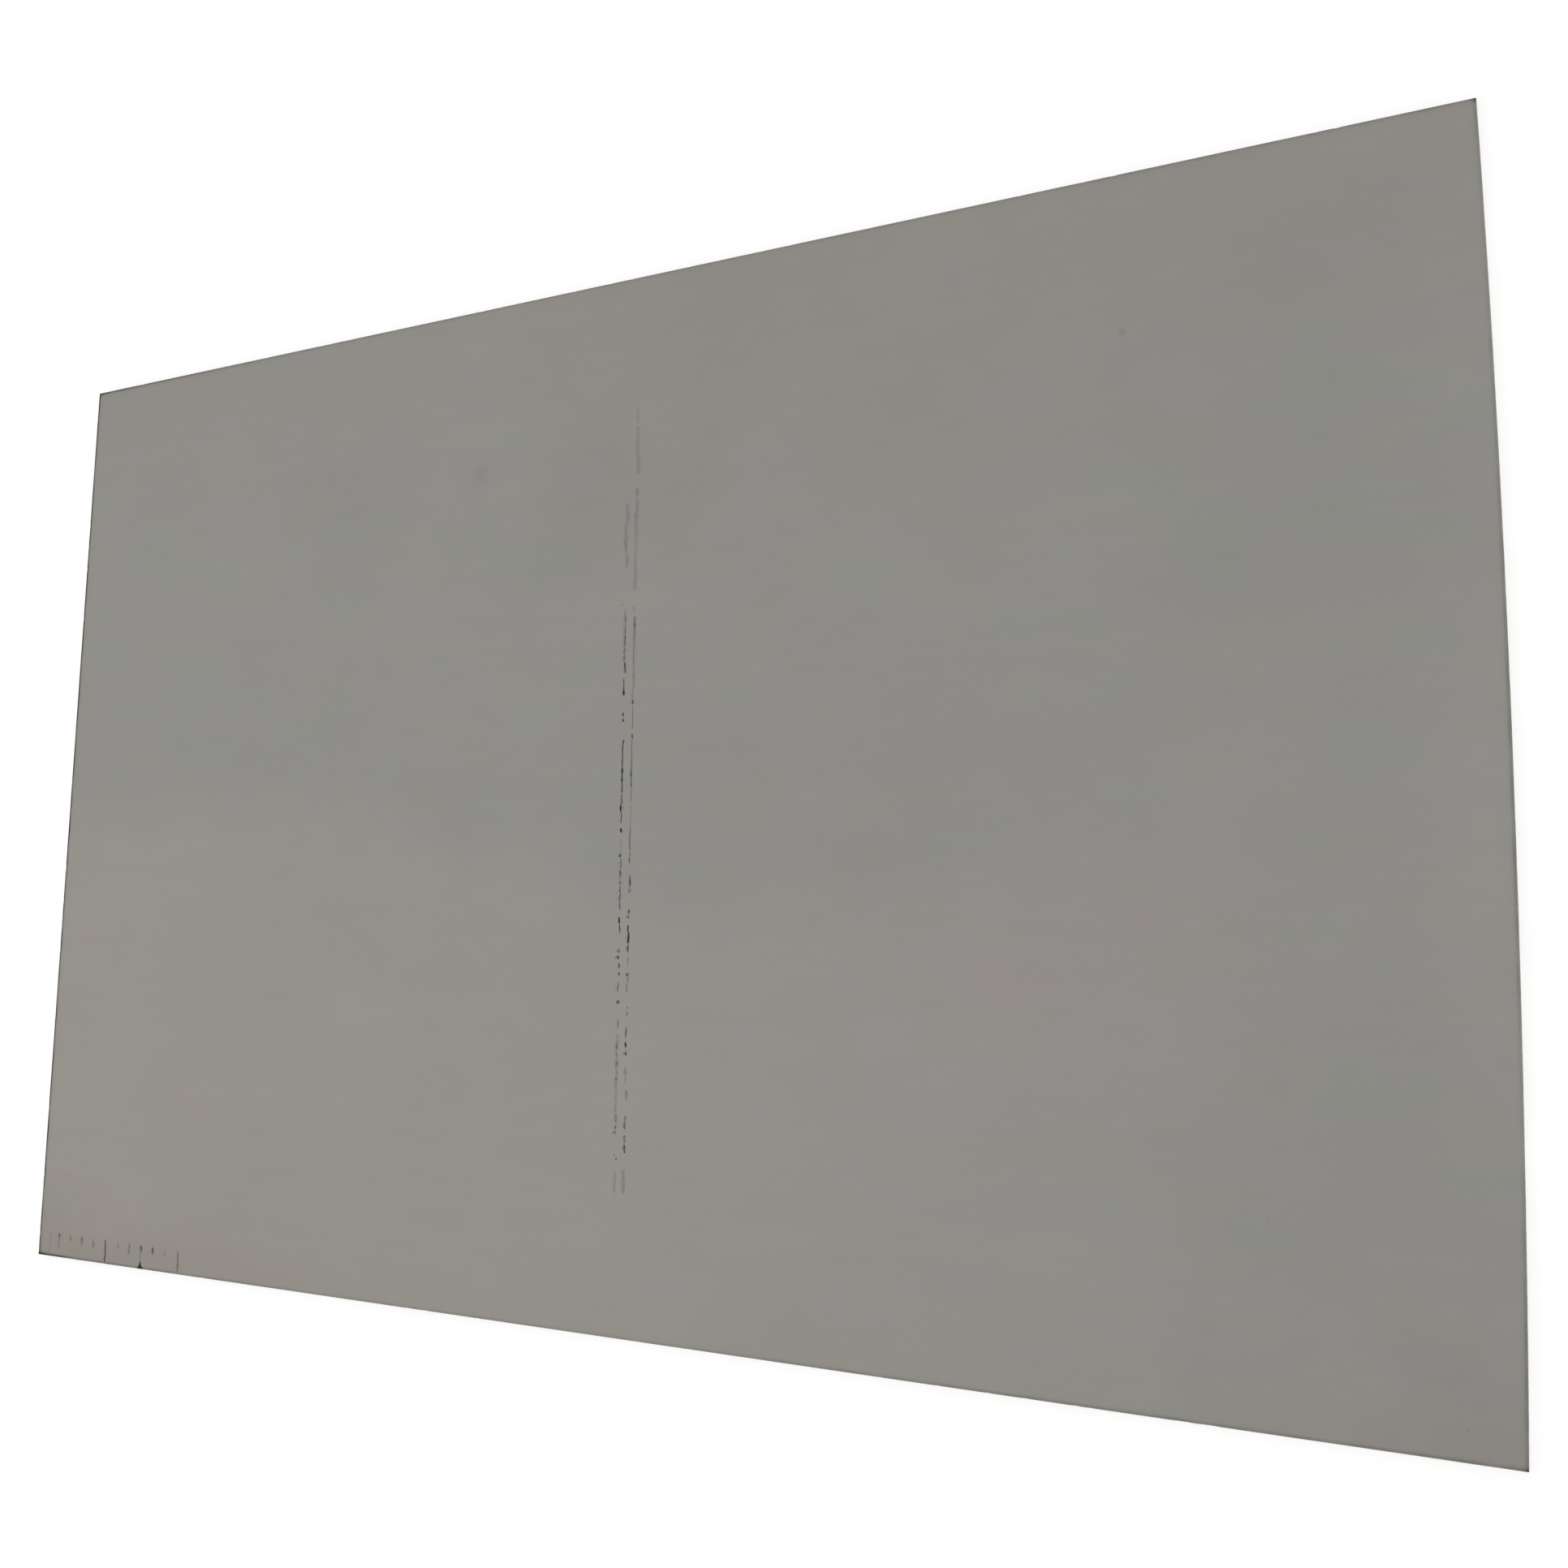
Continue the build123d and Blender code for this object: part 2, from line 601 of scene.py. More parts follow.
print("grid cells on the face:", cells_x, "x", cells_y)

# %% Join everything into one closed mesh
SMOOTH_FACE, SAWN_EDGE, ROUGH_BACK = 0, 1, 2
SHARP_ANGLE = math.radians(40)


def sheet_mesh():
    """The whole sheet: bands between rings, and a zipped grid on the face and on the back."""
    points, faces, finishes = list(sheet_points), [], []
    around = len(walk)
    for band in range(len(section) - 1):
        on_face = section[band + 1][1] == face_z
        on_back = section[band][1] == floor_z
        finish = SMOOTH_FACE if on_face else ROUGH_BACK if on_back else SAWN_EDGE
        for i in range(around):
            here, after = band * around + i, band * around + (i + 1) % around
            faces.append((here, here + around, after + around, after))
            finishes.append(finish)
    last_ring = (len(section) - 1) * around
    for first_point, height, finish in ((0, face_z, SMOOTH_FACE), (last_ring, floor_z, ROUGH_BACK)):
        squares, border, border_walk = grid_faces(add_grid(points, height))
        outer = [first_point + i for i in range(around)]
        middle = squares + zipped(outer, walk, border, border_walk)
        faces += middle if finish == SMOOTH_FACE else [tuple(reversed(face)) for face in middle]
        finishes += [finish] * len(middle)
    mesh = bpy.data.meshes.new("board_sheet")
    mesh.from_pydata(points, [], faces)
    mesh.polygons.foreach_set("material_index", finishes)
    mesh.polygons.foreach_set("use_smooth", [True] * len(faces))
    mesh.set_sharp_from_angle(angle=SHARP_ANGLE)
    darkening = np.zeros(len(points), np.float32)
    darkening[: len(sheet_darkening)] = sheet_darkening
    mesh.attributes.new("darkening", "FLOAT", "POINT").data.foreach_set("value", darkening)
    mesh.validate()
    return mesh


sheet = placed("board_sheet", sheet_mesh())
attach(sheet, "root")
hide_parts("board")
print("faces in the sheet:", len(sheet.data.polygons))

# %% [markdown]
# Colour of the smooth face
#
# Dried fibre cement isn't one grey. The lower half of this sheet is a little warmer and lighter, with
# a soft tide line across it, and the right-hand end and the top are a touch darker. This is partly the
# tone that water left as it dried and partly painted light, lighter at the lower left and darker to the
# right and at the top. Over that lie soft patches, partly old water stains and partly more painted light
# and shade, each so faint that it moves the colour by two or three steps out of 255. The eye doesn't see
# them one by one, but without them the sheet looks like painted plastic.
#
# An image could hold this. Nodes keep it sharp at any distance and need no file, and a patch is easy
# to place: it is a soft oval whose rim is roughened by noise.

# %% Helpers for stains and painted light
LEVEL = linear(141) - linear(140)
SOFT_RIM = 0.1


def tinted(tree, colour, share, levels):
    """The colour with so many screen levels of red, green and blue added, where the share is one."""
    added = [part * LEVEL for part in levels]
    return arithmetic(tree, "VectorMath", "MULTIPLY_ADD", {0: added, 1: share, 2: colour})[0]


def oval(tree, where, rough, x, y, reach_x, reach_y):
    """A soft oval spot in millimetres: one near its middle, nothing beyond its reach."""
    mapping = {
        "Vector": where,
        "Location": (-(middle_x / MM + x) / reach_x, -y / reach_y, 0),
        "Scale": (1 / (reach_x * MM), 1 / (reach_y * MM), 0),
    }
    mapped = fill(tree, tree.nodes.new("ShaderNodeMapping"), mapping)["Vector"]
    away = arithmetic(tree, "VectorMath", "LENGTH", {0: mapped})["Value"]
    return soft_step(tree, maths(tree, "ADD", away, rough), 1.0, SOFT_RIM)


def ragged_rim(tree, where, size, amount):
    """Noise that makes the rim of a stain ragged."""
    return maths(tree, "MULTIPLY", cloud(tree, where, size, 3.0), amount)


print("one screen level near the sheet's grey is", round(LEVEL, 4), "of linear light")

# %% Stains and painted light on the face
# Each patch is its x and y from the middle of the rectangle, its reach along x and along y, all in
# millimetres, and the screen levels of red, green and blue that it adds. The patches are partly water
# stains and partly painted light and shade.
STAINS_AND_PAINTED_LIGHT = (
    (150, 330, 340, 200, (-1.0, -1.9, -2.6)),
    (500, 200, 150, 260, (-3.1, -2.5, -2.5)),
    (520, -280, 130, 230, (-3.0, -2.6, -2.4)),
    (340, -130, 190, 170, (2.5, 0.2, 1.9)),
    (-180, 50, 110, 60, (1.8, -0.2, 1.0)),
    (180, 55, 90, 90, (1.0, -0.4, 0.6)),
    (-300, 262, 105, 60, (-2.2, -1.9, -1.6)),
    (-262, 205, 70, 75, (-1.8, -1.5, -1.3)),
    (-480, 290, 60, 45, (-1.0, -1.0, -0.8)),
    (-40, 225, 150, 80, (-2.6, -2.4, -2.9)),
    (-535, -130, 70, 110, (0.9, 0.2, 0.4)),
    (-370, -250, 130, 110, (0.2, -0.1, -1.6)),
    (-345, 115, 80, 60, (-0.6, -0.3, 0.9)),
    (-600, -400, 190, 70, (-3.4, -4.4, -3.6)),
    (600, -400, 190, 110, (-2.8, -4.2, -3.6)),
    (600, -40, 60, 240, (2.8, 1.9, 1.3)),
    (-505, -390, 95, 16, (-3.0, -1.2, -1.0)),
    (-604, 170, 32, 230, (2.2, -0.2, -1.6)),
    (300, 20, 330, 42, (-0.6, -0.9, -0.5)),
    (450, 5, 75, 50, (2.3, 2.1, 1.2)),
    (250, 365, 90, 60, (1.8, 2.1, 2.8)),
    (-520, -215, 80, 70, (1.6, 1.7, 1.0)),
    (-75, -50, 75, 60, (3.0, 1.6, 1.2)),
    (230, -190, 80, 60, (1.6, 0.3, 2.4)),
    (-270, -185, 120, 60, (1.3, 1.1, 1.6)),
    (-430, -400, 260, 90, (-0.4, -2.2, -2.4)),
)
# The two marks that the eye does find: a thumb smudge and a small brown speck.
SPOTS = (
    (-146, 262, 36, 24, (-1.7, -1.9, -1.9)),
    (-141, 260, 13, 15, (-3.4, -3.8, -3.8)),
    (382.8, 289.1, 4.2, 4.8, (-9, -10, -11)),
)
print("stains:", len(STAINS_AND_PAINTED_LIGHT), "and spots:", len(SPOTS))

# %% Broad tones of the face
BASE_GREY = paint(142.6, 141.1, 136.6)
# The tide line's y goes from one value to another while x goes from here to there: it falls, then rises.
TIDE_FALL = (-350 * MM, 50 * MM, 5 * MM, -85 * MM)
TIDE_RISE = (200 * MM, 480 * MM, 0.0, 40 * MM)
TIDE_ROUGHNESS = 20 * MM
# Each tone starts and is whole so far below the tide line, where a negative number is above it.
WARM_FROM_TO = (-35 * MM, 45 * MM)
DAMP_AND_SHADE_FROM_TO = (-120 * MM, -20 * MM)
# Along x, the warm tone fades out to the right, and the left-hand end has a little more of it.
WARM_FADE = (-100 * MM, 560 * MM, 1.0, 0.0)
FAR_LEFT = (-330 * MM, -540 * MM)
WARM, DAMP_AND_SHADE, WARMER = (5.0, 3.5, 2.7), (-1.0, -0.6, -0.3), (1.5, 0.7, -0.7)
# Each slope is its axis, where it starts and ends in millimetres, and the levels that it adds.
# The first two slopes are painted light, darker to the right and towards the top. The third darkens the
# last 50 mm before the lower edge.
SLOPES = (
    ("X", -250, 500, (-1.9, -2.2, -2.0)),
    ("Y", 230, 400, (-0.6, -1.7, -2.3)),
    ("Y", -350, -400, (-0.8, -1.6, -2.4)),
)
BROAD_GRAIN, BROAD_ROUGHNESS = 90 * MM, 1.3
SPOT_GRAIN, SPOT_ROUGHNESS = 11 * MM, 1.6


# The tide line parts a lighter, warmer lower part from a darker upper one; this is partly the cement's
# tone and partly painted light.
def tide_and_light_tones(tree, axes, rough):
    """Shares of the warm tone below the tide line, the darker one above it, and the warmer far end."""
    fall, rise = (soft_step(tree, axes["X"], *bend) for bend in (TIDE_FALL, TIDE_RISE))
    tide = maths(tree, "ADD", fall, rise)
    below = maths(tree, "SUBTRACT", tide, axes["Y"])
    below = maths(tree, "ADD", below, maths(tree, "MULTIPLY", rough, TIDE_ROUGHNESS))
    warm = soft_step(tree, below, *WARM_FROM_TO)
    not_warm = maths(tree, "SUBTRACT", 1.0, warm)
    damp_and_shade = maths(tree, "MULTIPLY", soft_step(tree, below, *DAMP_AND_SHADE_FROM_TO), not_warm)
    faded = maths(tree, "MULTIPLY", warm, soft_step(tree, axes["X"], *WARM_FADE))
    warmer = maths(tree, "MULTIPLY", warm, soft_step(tree, axes["X"], *FAR_LEFT))
    return (faded, WARM), (damp_and_shade, DAMP_AND_SHADE), (warmer, WARMER)


def face_tone(tree, where):
    """Broad tones and painted light: cool above, warm below a soft tide line, darker right, and stained.
    """
    axes = fill(tree, tree.nodes.new("ShaderNodeSeparateXYZ"), {0: where})
    rough = ragged_rim(tree, where, BROAD_GRAIN, BROAD_ROUGHNESS)
    colour = BASE_GREY[:3]
    for share, levels in tide_and_light_tones(tree, axes, rough):
        colour = tinted(tree, colour, share, levels)
    for axis, start, end, levels in SLOPES:
        colour = tinted(tree, colour, soft_step(tree, axes[axis], start * MM, end * MM), levels)
    for *place, levels in STAINS_AND_PAINTED_LIGHT:
        colour = tinted(tree, colour, oval(tree, where, rough, *place), levels)
    ragged = ragged_rim(tree, where, SPOT_GRAIN, SPOT_ROUGHNESS)
    for *place, levels in SPOTS:
        colour = tinted(tree, colour, oval(tree, where, ragged, *place), levels)
    return colour


print("the tide line falls by", round((TIDE_FALL[2] - TIDE_FALL[3]) / MM), "mm from left to right")

# %% [markdown]
# Grain of the smooth face
#
# Under the stains and the painted light the sheet has its own grain: slow clouds, faint streaks along the
# length, where the felt carried the wet film, a mottle of patches the size of a fingertip that lean to
# red or to green, a speckle about a millimetre across and a grit finer than that, with a pinhole here
# and there, painted darker for the shade in it. From across a room the grit melts into one grey, and
# close by it is what says cement. Speckle and grit lift the surface by a few hundredths of a millimetre,
# so that a low light catches them.

# %% Start a finish
def new_finish(name, roughness, specular):
    """A material with its node tree, its main shader and the place on the sheet in metres."""
    material = bpy.data.materials.new(name)
    material.use_nodes = True
    tree = material.node_tree
    shader = tree.nodes["Principled BSDF"]
    fill(tree, shader, {"Roughness": roughness, "Specular IOR Level": specular})
    where = tree.nodes.new("ShaderNodeTexCoord").outputs["Object"]
    return material, tree, shader, where


def shaded(tree, colour, shade):
    """The colour made lighter or darker by a share that is around zero."""
    lightness = maths(tree, "ADD", shade, 1.0)
    return arithmetic(tree, "VectorMath", "SCALE", {0: colour, "Scale": lightness})[0]


def relief(tree, shader, height, depth):
    """Tiny relief from a height around zero; depth is in metres for a height of one."""
    bump = fill(tree, tree.nodes.new("ShaderNodeBump"), {"Distance": depth, "Height": height})
    fill(tree, shader, {"Normal": bump["Normal"]})


def carried(tree, name):
    """A number that the mesh carries at each point."""
    node = tree.nodes.new("ShaderNodeAttribute")
    node.attribute_name = name
    return node.outputs["Fac"]


def total(tree, *parts):
    """The sum of several shares, each written as a socket and how much of it counts."""
    whole = 0.0
    for share, amount in parts:
        whole = arithmetic(tree, "Math", "MULTIPLY_ADD", {0: share, 1: amount, 2: whole})[0]
    return whole


def grain(tree, where, layers):
    """Make every layer of a table, and add them up once as shade and once as height."""
    made, shades, heights = {}, [], []
    for name, (size, detail, stretch, shade, height) in layers.items():
        made[name] = cloud(tree, where, size, detail, stretch)
        if shade:
            shades.append((made[name], shade))
        if height:
            heights.append((made[name], height))
    return made, total(tree, *shades), total(tree, *heights)


FINISH_HELPERS = (new_finish, shaded, relief, carried, total, grain)
print("helpers for a finish:", ", ".join(helper.__name__ for helper in FINISH_HELPERS))

# %% The face's material
FACE_ROUGHNESS, FACE_SPECULAR = 0.78, 0.3
FACE_RELIEF = 0.04 * MM
# Each layer is its patch size, its detail, its stretch along x, y and z, its share of the shade, and
# its share of the height.
FACE_LAYERS = {
    "clouds": (100 * MM, 3.0, EVEN, 0.05, 0.0),
    "streaks": (12 * MM, 3.0, (16, 1, 1), 0.045, 0.0),
    "fingertips": (11 * MM, 3.0, (2, 1, 1), 0.04, 0.0),
    "felt": (4 * MM, 1.0, (2.5, 1, 1), 0.0, 2.0),
    "speckle": (1.1 * MM, 2.0, EVEN, 0.06, 1.0),
    "grit": (0.28 * MM, 1.0, (1.6, 1, 1), 0.16, 0.8),
}
# Each mottle is its patch size, its stretch, and the levels of red, green and blue that it swings by.
RED_OR_GREEN = (40 * MM, (2, 1, 1), (5.0, -2.0, 1.0))
YELLOW_OR_BLUE = (30 * MM, (2.5, 1, 1), (0.5, 0.5, -5.0))
# A pinhole is painted darker, for the shade inside it.
PINHOLE_SPACING, PINHOLE_SIZE, PINHOLE_SHADE = 7 * MM, 0.06, -0.35
# The dark grey that the colour goes to along the arris, most at the corners.
EDGE_DARK_COLOUR = paint(38, 36, 33)


def pinholes(tree, where):
    """One inside a tiny round hole, nothing elsewhere; the holes are scattered and differ in size."""
    scattered = {"Scale": 1 / PINHOLE_SPACING, "Vector": where}
    holes = fill(tree, tree.nodes.new("ShaderNodeTexVoronoi"), scattered)
    chance = fill(tree, tree.nodes.new("ShaderNodeSeparateColor"), {0: holes["Color"]})["Red"]
    edge = maths(tree, "MULTIPLY", maths(tree, "POWER", chance, 3.0), PINHOLE_SIZE)
    return maths(tree, "LESS_THAN", holes["Distance"], edge)


def face_colour(tree, where):
    """Colour and height of the bare face: stained tones and painted light, clouds, streaks, mottle and
    grit.
    """
    _, shade, height = grain(tree, where, FACE_LAYERS)
    # Pinholes are painted darker here, as painted shade.
    shade = total(tree, (pinholes(tree, where), PINHOLE_SHADE), (shade, 1.0))
    colour = face_tone(tree, where)
    for size, stretch, levels in (RED_OR_GREEN, YELLOW_OR_BLUE):
        colour = tinted(tree, colour, cloud(tree, where, size, 3.0, stretch), levels)
    return shaded(tree, colour, shade), height


def apply_darkening(tree, shader, colour):
    """Give the main shader the colour, taken towards a dark grey by the amount that the mesh carries."""
    fill(tree, shader, {"Base Color": blend(tree, carried(tree, "darkening"), colour, EDGE_DARK_COLOUR)})


def face_finish():
    """Smooth, matt, faintly stained cement."""
    material, tree, shader, where = new_finish("smooth_face", FACE_ROUGHNESS, FACE_SPECULAR)
    colour, height = face_colour(tree, where)
    apply_darkening(tree, shader, colour)
    relief(tree, shader, height, FACE_RELIEF)
    return material


sheet.data.materials.append(face_finish())
print("nodes in the face's finish:", len(sheet.data.materials[0].node_tree.nodes))

# %% [markdown]
# Finish of the cut edge
#
# The saw lays the inside open: a paler, dustier grey with thin films one over another, short fibres
# along them, small pits painted darker for the shade in them, and faint marks across where the teeth
# passed. Noise that is stretched along the sheet and squeezed through its thickness gives the films
# without drawing a single line by hand.

# %% The cut edge's material
CUT_ROUGHNESS, CUT_SPECULAR = 0.9, 0.2
CUT_RELIEF = 0.3 * MM
CUT_GREY, CUT_DUST, CUT_PIT_SHADE = paint(140, 137, 130), paint(166, 162, 154), paint(92, 89, 84)
CUT_LAYERS = {
    "films": (0.7 * MM, 2.0, (50, 50, 1), 0.65, 1.0),
    "fibres": (0.22 * MM, 2.0, (14, 14, 1), 0.45, 0.4),
    "passes": (0.9 * MM, 1.0, (1, 1, 14), 0.2, 0.5),
    "tooth": (1.3 * MM, 3.0, EVEN, 0.3, 1.0),
    "grit": (0.3 * MM, 2.0, EVEN, 0.5, 0.5),
    "patches": (30 * MM, 3.0, EVEN, 0.0, 0.0),
}
DUST_COVER = 0.7
# Pits are sunk by the relief, and their colour is darkened as painted shade in the hollow.
PIT_SIZE, PIT_STRETCH, PIT_FROM_TO = 0.6 * MM, (1.8, 1.8, 1), (-0.15, -0.23)
PIT_SHADE_COVER, PIT_DEPTH = 0.6, -0.6
# Dust lies where the patches, roughened by a share of the tooth, go from the first height to the second.
TOOTH_IN_DUST, CUT_DUST_FROM_TO = 0.6, (-0.15, 0.2)


def cut_finish():
    """Sawn fibre cement: films, fibres, dust, pits with painted shade and a rough tooth."""
    material, tree, shader, where = new_finish("sawn_edge", CUT_ROUGHNESS, CUT_SPECULAR)
    made, shade, height = grain(tree, where, CUT_LAYERS)
    patches = total(tree, (made["patches"], 1.0), (made["tooth"], TOOTH_IN_DUST))
    dusty = soft_step(tree, patches, *CUT_DUST_FROM_TO)
    colour = blend(tree, maths(tree, "MULTIPLY", dusty, DUST_COVER), CUT_GREY, CUT_DUST)
    colour = shaded(tree, colour, shade)
    pits = soft_step(tree, cloud(tree, where, PIT_SIZE, 2.0, PIT_STRETCH), *PIT_FROM_TO)
    # Painted shade: the colour goes darker in the pits.
    colour = blend(tree, maths(tree, "MULTIPLY", pits, PIT_SHADE_COVER), colour, CUT_PIT_SHADE)
    apply_darkening(tree, shader, colour)
    relief(tree, shader, total(tree, (pits, PIT_DEPTH), (height, 1.0)), CUT_RELIEF)
    return material


sheet.data.materials.append(cut_finish())
print("the cut edge is", CUT_RINGS, "rings high")

# %% [markdown]
# Finish of the back
#
# The back never shows in the picture. Such a sheet leaves the line with its back against a coarser
# felt, so it is the same grey with the print of that felt: a deeper nap, drawn out along the sheet,
# with a faint rib across it, and loose dust in the hollows.

# %% The back's material
BACK_ROUGHNESS, BACK_SPECULAR = 0.92, 0.2
BACK_RELIEF = 0.6 * MM
BACK_GREY, BACK_DUST = paint(140, 137, 131), paint(166, 163, 155)
BACK_LAYERS = {
    "clouds": (150 * MM, 3.0, EVEN, 0.2, 0.0),
    "streaks": (14 * MM, 3.0, (14, 1, 1), 0.16, 0.0),
    "nap": (2.2 * MM, 3.0, (1.8, 1, 1), 0.3, 1.0),
    "rib": (1.6 * MM, 1.0, (1, 12, 1), 0.0, 0.3),
    "grit": (0.4 * MM, 1.0, EVEN, 0.35, 0.25),
}
# On the back, dust lies in the hollows of the nap, and more so where a cloud is dark.
CLOUDS_IN_DUST, BACK_DUST_FROM_TO = 0.9, (0.06, -0.2)


def back_finish():
    """The rough side: the face's grey with a coarse nap and dust in it."""
    material, tree, shader, where = new_finish("rough_back", BACK_ROUGHNESS, BACK_SPECULAR)
    made, shade, height = grain(tree, where, BACK_LAYERS)
    hollows = total(tree, (made["nap"], 1.0), (made["clouds"], CLOUDS_IN_DUST))
    dusty = soft_step(tree, hollows, *BACK_DUST_FROM_TO)
    colour = blend(tree, maths(tree, "MULTIPLY", dusty, DUST_COVER), BACK_GREY, BACK_DUST)
    apply_darkening(tree, shader, shaded(tree, colour, shade))
    relief(tree, shader, height, BACK_RELIEF)
    return material


sheet.data.materials.append(back_finish())
print("finishes on the sheet:", [material.name for material in sheet.data.materials])

# %% [markdown]
# Ink marks
#
# Across the middle of the face run two broken rows of ink, and a few strokes stand at the lower left
# edge. Worn ink on cement is a string of dashes, dots and blurs with no readable sign in it, and that
# is how it is made here: plain dashes at random, with a rhythm that changes along the row.
#
# A painted mask would blur when seen close. Each dash is instead a film of ink a few hundredths of a
# millimetre thick: a strip with four points across it. The inner two hold the ink. The outer two hold
# none and lie almost in the face, so a narrow rim gives a crisp dash and a wide one gives a smear. The
# film's finish is the face's own colour with ink over it, and all its normals point straight up, so
# where there is no ink the film can't be seen.

# %% Where the strokes of a piece are gathered
class Ink:
    """The points, faces and ink of all the strokes of one piece, and the piece's own random numbers."""

    def __init__(self, name, seed):
        self.name, self.rng = name, random.Random(seed)
        self.points, self.faces, self.held, self.count = [], [], [], 0


# Films lie in three layers, so that a faint smear never hides a dark mark.
OVER, MIDDLE, UNDER = 0.0, 0.32, 0.64
LAYER_PLAY = 0.28
print("all layers of ink lie within", round(FACE_DROP / MM, 3), "mm over the face")

# %% One film of ink along a path
FILM = 0.08 * MM
RIM_RISE = 0.001 * MM
FILM_CORNERS = 6


def add_stroke(ink, path, widths, tones, core, layer=OVER):
    """Add a film along a path; core is the share of its width that holds all its ink."""
    start = len(ink.points)
    film_top = top_z - (layer + ink.rng.uniform(0.0, LAYER_PLAY)) * FACE_DROP
    rim, foot = face_z + RIM_RISE, face_z - FILM
    run = (path[-1] - path[0]).normalized()
    for here, width, tone in zip(path, widths, tones):
        aside = Vector((-run.y, run.x)) * width / 2
        top = film_top if tone > 0 else rim
        sides = ((1, rim), (core, top), (-core, top), (-1, rim), (-1, foot), (1, foot))
        ink.points += [(*(here + aside * share), z) for share, z in sides]
        ink.held += [0.0, tone, tone, 0.0, 0.0, 0.0]
    for i in range(len(path) - 1):
        for k in range(FILM_CORNERS):
            here = start + i * FILM_CORNERS + k
            after = start + i * FILM_CORNERS + (k + 1) % FILM_CORNERS
            ink.faces.append((here, after, after + FILM_CORNERS, here + FILM_CORNERS))
    for end in (start, start + (len(path) - 1) * FILM_CORNERS):
        ink.faces.append([end + k for k in range(FILM_CORNERS)])
    ink.count += 1


print("a film's foot is", round(FILM / MM, 3), "mm under the face")

# %% A dash, which is never quite even
STATION_STEP, LEAST_STATIONS = 1.3 * MM, 5
WIDTH_WOBBLE, TONE_WOBBLE, MOST_TONE = 0.16, 0.2, 0.98
END_WIDTH, END_RUN = 0.55, 0.3 * MM
BEAD_WIDTH, BEAD_TONE, BEAD_SIDE = 0.55, 0.7, 0.4
BEND, JITTER, SHORT = 0.25, 0.06, 3
SWAY, SWAY_STEP = 0.22 * MM, 0.17


def swellings(ink, stations, beads):
    """Where a dash swells into beads: one at a bead, a little beside it, and a spare place at each end."""
    swell = [0.0] * (stations + 2)
    for i in range(stations):
        if ink.rng.random() < beads:
            swell[i], swell[i + 1], swell[i + 2] = max(swell[i], BEAD_SIDE), 1.0, BEAD_SIDE
    return swell


def add_dash(ink, x, y, length, width, heading, tone, core, fade=1.0, beads=0.0, layer=OVER):
    """Add a dash round a place in metres; fade is how much of its ink is left at its far end."""
    rng = ink.rng
    stations = max(LEAST_STATIONS, round(length / STATION_STEP))
    along = Vector((math.cos(heading), math.sin(heading)))
    across = Vector((-along.y, along.x))
    play = min(width, length / SHORT)
    bend = rng.uniform(-BEND, BEND) * play
    phase = rng.uniform(0, 100)
    swell = swellings(ink, stations, beads)
    path, widths, tones = [], [], []
    for i in range(stations):
        share = i / (stations - 1)
        swing = bend * math.sin(math.pi * share) + rng.uniform(-JITTER, JITTER) * play
        swing += SWAY * noise.noise(Vector((i * SWAY_STEP, phase, 0)))
        path.append(Vector((x, y)) + along * (share - 0.5) * length + across * swing)
        ended = END_WIDTH if i in (0, stations - 1) else 1.0
        bead = swell[i + 1]
        swollen = 1 + BEAD_WIDTH * bead + rng.uniform(-WIDTH_WOBBLE, WIDTH_WOBBLE)
        widths.append(width * ended * swollen)
        left = (1 - (1 - fade) * share) * (1 + BEAD_TONE * bead)
        tones.append(min(MOST_TONE, tone * left * (1 + rng.uniform(-TONE_WOBBLE, TONE_WOBBLE))))
    path = [path[0] - along * END_RUN, *path, path[-1] + along * END_RUN]
    widths = [widths[0] * END_WIDTH, *widths, widths[-1] * END_WIDTH]
    add_stroke(ink, path, widths, [0.0, *tones, 0.0], core, layer)


print("a dash has a station every", round(STATION_STEP / MM, 2), "mm and at least", LEAST_STATIONS)

# %% One piece from its strokes
def ink_piece(ink, finish):
    """Make the object, lay it on the sheet and let it ride with it."""
    mesh = bpy.data.meshes.new(ink.name)
    mesh.from_pydata(ink.points, [], ink.faces)
    mesh.attributes.new("ink", "FLOAT", "POINT").data.foreach_set("value", ink.held)
    shell = bmesh.new()
    shell.from_mesh(mesh)
    bmesh.ops.recalc_face_normals(shell, faces=shell.faces)
    shell.to_mesh(mesh)
    shell.free()
    mesh.normals_split_custom_set_from_vertices([(0.0, 0.0, 1.0)] * len(ink.points))
    mesh.materials.append(finish)
    made = placed(ink.name, mesh)
    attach(made, "root")
    return made


# %% The ink's finish
INK_BLACK = paint(12, 11, 11)
# A strength under one darkens thin ink, and the speckle breaks up ink that covers less than this.
INK_STRENGTH = 0.66
SPECKLE_SIZE, INK_SPECKLE, SPECKLED_UNDER = 0.6 * MM, 3.0, 1.05


def ink_finish():
    """The bare face with thin dry ink over it."""
    material, tree, shader, where = new_finish("dry_ink", FACE_ROUGHNESS, FACE_SPECULAR)
    colour, height = face_colour(tree, where)
    held = maths(tree, "POWER", carried(tree, "ink"), INK_STRENGTH)
    thin = maths(tree, "SUBTRACT", SPECKLED_UNDER, held)
    speckle = maths(tree, "MULTIPLY", cloud(tree, where, SPECKLE_SIZE, 2.0), INK_SPECKLE)
    speckled = maths(tree, "ADD", 1.0, maths(tree, "MULTIPLY", thin, speckle))
    cover = maths(tree, "MINIMUM", maths(tree, "MULTIPLY", held, speckled), 1.0)
    fill(tree, shader, {"Base Color": blend(tree, cover, colour, INK_BLACK)})
    relief(tree, shader, height, FACE_RELIEF)
    return material


dry_ink = ink_finish()
print("nodes in the ink's finish:", len(dry_ink.node_tree.nodes))

# %% [markdown]
# Two rows across the sheet
#
# A row is a list of stretches. Each says where it starts and ends, what the ink does there and how
# dark it is: a line, dashes, dots, or a haze where the ink was smeared while it was wet. The dashes
# themselves fall at random inside a stretch.

